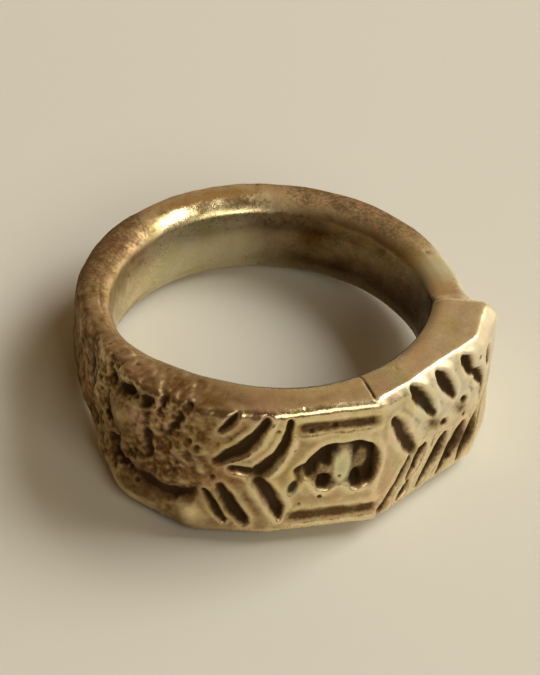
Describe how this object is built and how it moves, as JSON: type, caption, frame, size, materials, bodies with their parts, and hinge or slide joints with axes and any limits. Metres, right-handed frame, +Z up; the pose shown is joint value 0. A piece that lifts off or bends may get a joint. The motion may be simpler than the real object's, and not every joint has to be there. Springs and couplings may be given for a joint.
{
  "type": "bronze finger ring",
  "caption": "Cast bronze ring with a tall carved front, a raised hexagon between chevron grooves, a wing-like corner and a low rounded back.",
  "frame": {"origin": "middle of the resting ring's outline, on the surface that it lies on", "axes": "+Z up from the surface, -Y out of the carved front, +X towards the wing-like corner; the finger axis leans 6.9 degrees off +Z, towards the back"},
  "size_m": [0.0224, 0.023, 0.0093],
  "materials": {
    "bronze": "cast bronze, worn bright on the edges and dark in the carving"
  },
  "bodies": {
    "root": {"ring": "bronze"}
  },
  "joints": []
}
